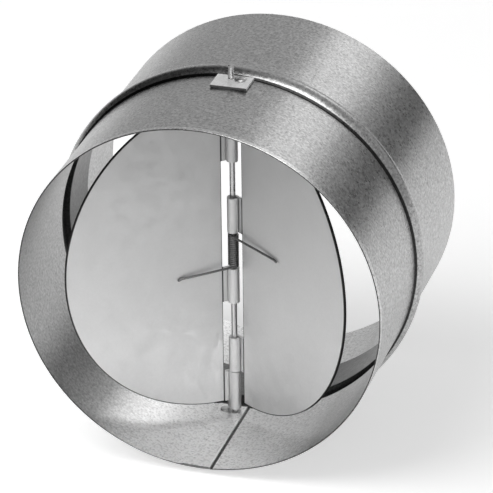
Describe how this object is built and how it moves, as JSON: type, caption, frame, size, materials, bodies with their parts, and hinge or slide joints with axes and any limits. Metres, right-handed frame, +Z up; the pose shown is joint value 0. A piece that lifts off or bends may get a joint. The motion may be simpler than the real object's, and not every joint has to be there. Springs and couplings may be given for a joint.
{
  "type": "duct backdraft damper",
  "caption": "Round sheet-metal duct sleeve with a rolled bead and two sprung half-disc blades that swing on one upright axle to let air through one way only.",
  "frame": {"origin": "centre of the outlet mouth, on the duct axis", "axes": "+Y along the duct from the outlet to the inlet, +Z up along the blades' axle, +X to the right for someone looking into the outlet"},
  "size_m": [0.1646, 0.125, 0.1691],
  "materials": {
    "galvanised_steel": "galvanised sheet with a fine spangle",
    "blade_aluminium": "mill finish sheet",
    "axle_steel": "bright zinc-plated rod",
    "spring_steel": "dark spring wire",
    "galvanised_plate": "galvanised strip",
    "rivet_aluminium": "satin"
  },
  "bodies": {
    "root": {"sleeve": "galvanised_steel", "axle": "axle_steel", "torsion_spring": "spring_steel", "top_plate": "galvanised_plate", "bottom_plate": "galvanised_plate", "top_rivet": "rivet_aluminium", "bottom_rivet": "rivet_aluminium"},
    "left_flap": {"left_blade": "blade_aluminium"},
    "right_flap": {"right_blade": "blade_aluminium"}
  },
  "joints": [
    {"name": "left_blade_hinge", "type": "hinge", "parent": "root", "child": "left_flap", "pos_m": [0, 0.0522, 0], "axis": [0, 0, 1], "range_deg": [-41.5, 41], "stiffness_Nm_per_rad": 0.002, "springref_deg": -41.5, "deforming": ["torsion_spring"]},
    {"name": "right_blade_hinge", "type": "hinge", "parent": "root", "child": "right_flap", "pos_m": [0, 0.0522, 0], "axis": [0, 0, 1], "range_deg": [-46, 37.5], "stiffness_Nm_per_rad": 0.002, "springref_deg": 37.5, "deforming": ["torsion_spring"]}
  ]
}
